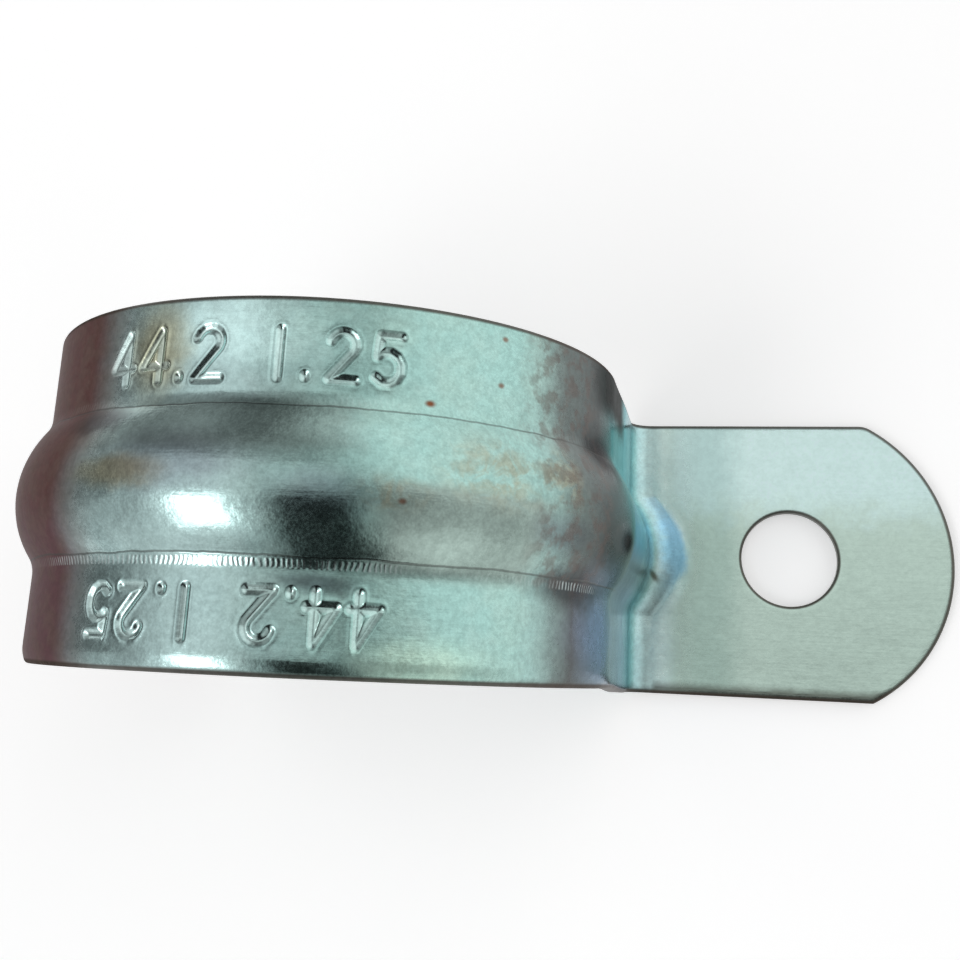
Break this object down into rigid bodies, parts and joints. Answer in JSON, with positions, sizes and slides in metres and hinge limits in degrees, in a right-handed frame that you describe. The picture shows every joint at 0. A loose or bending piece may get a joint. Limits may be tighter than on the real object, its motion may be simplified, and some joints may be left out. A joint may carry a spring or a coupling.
{
  "type": "conduit strap",
  "caption": "Pressed steel strap that hooks over a round conduit and screws flat to a wall through one foot, stiffened by a lengthwise bead.",
  "frame": {"origin": "centre of the screw hole, in the plane of the wall that the foot lies on", "axes": "+X out along the foot away from the conduit, +Y along the conduit, +Z away from the wall"},
  "size_m": [0.0789, 0.0262, 0.0475],
  "materials": {
    "zinc_steel": "bright zinc plate, slightly worn and stained"
  },
  "bodies": {
    "root": {"strap": "zinc_steel"}
  },
  "joints": []
}
